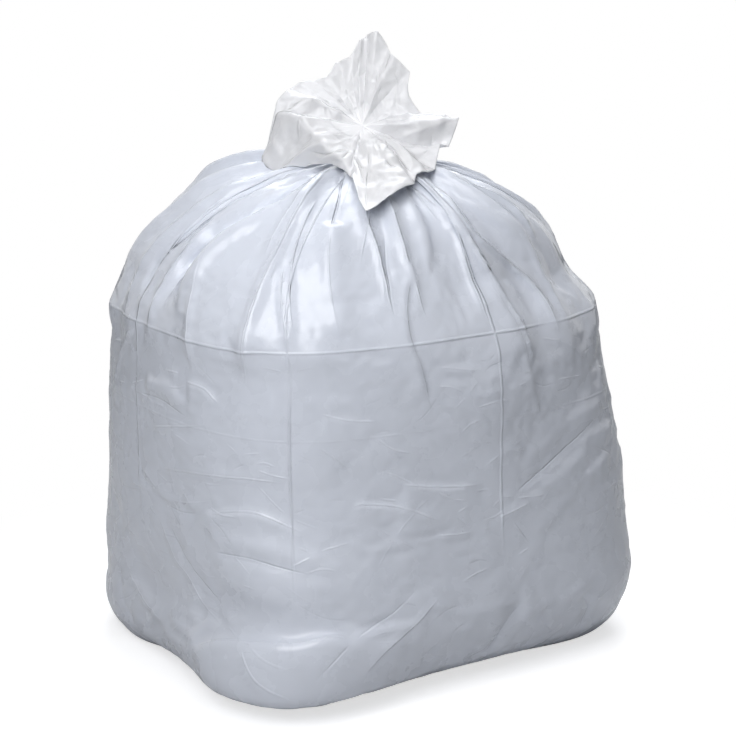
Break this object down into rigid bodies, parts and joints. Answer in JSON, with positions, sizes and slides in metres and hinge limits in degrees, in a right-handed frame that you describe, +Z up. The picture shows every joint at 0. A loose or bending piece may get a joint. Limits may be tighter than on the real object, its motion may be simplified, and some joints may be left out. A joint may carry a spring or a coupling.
{
  "type": "filled bin bag",
  "caption": "Filled soft plastic waste bag standing on its base, gathered and tied at the neck, with the mouth fanned out above the tie.",
  "frame": {"origin": "on the floor, below the middle of the belly, where the bag rests on its base", "axes": "+Z up through the neck; +X along the wider side of the body; -Y the wide side that faces the viewer's right in the picture"},
  "size_m": [0.5151, 0.4428, 0.6483],
  "materials": {
    "film": "thin white polyethylene film, satin with glossy creases"
  },
  "bodies": {
    "root": {"bag": "film"}
  },
  "joints": []
}
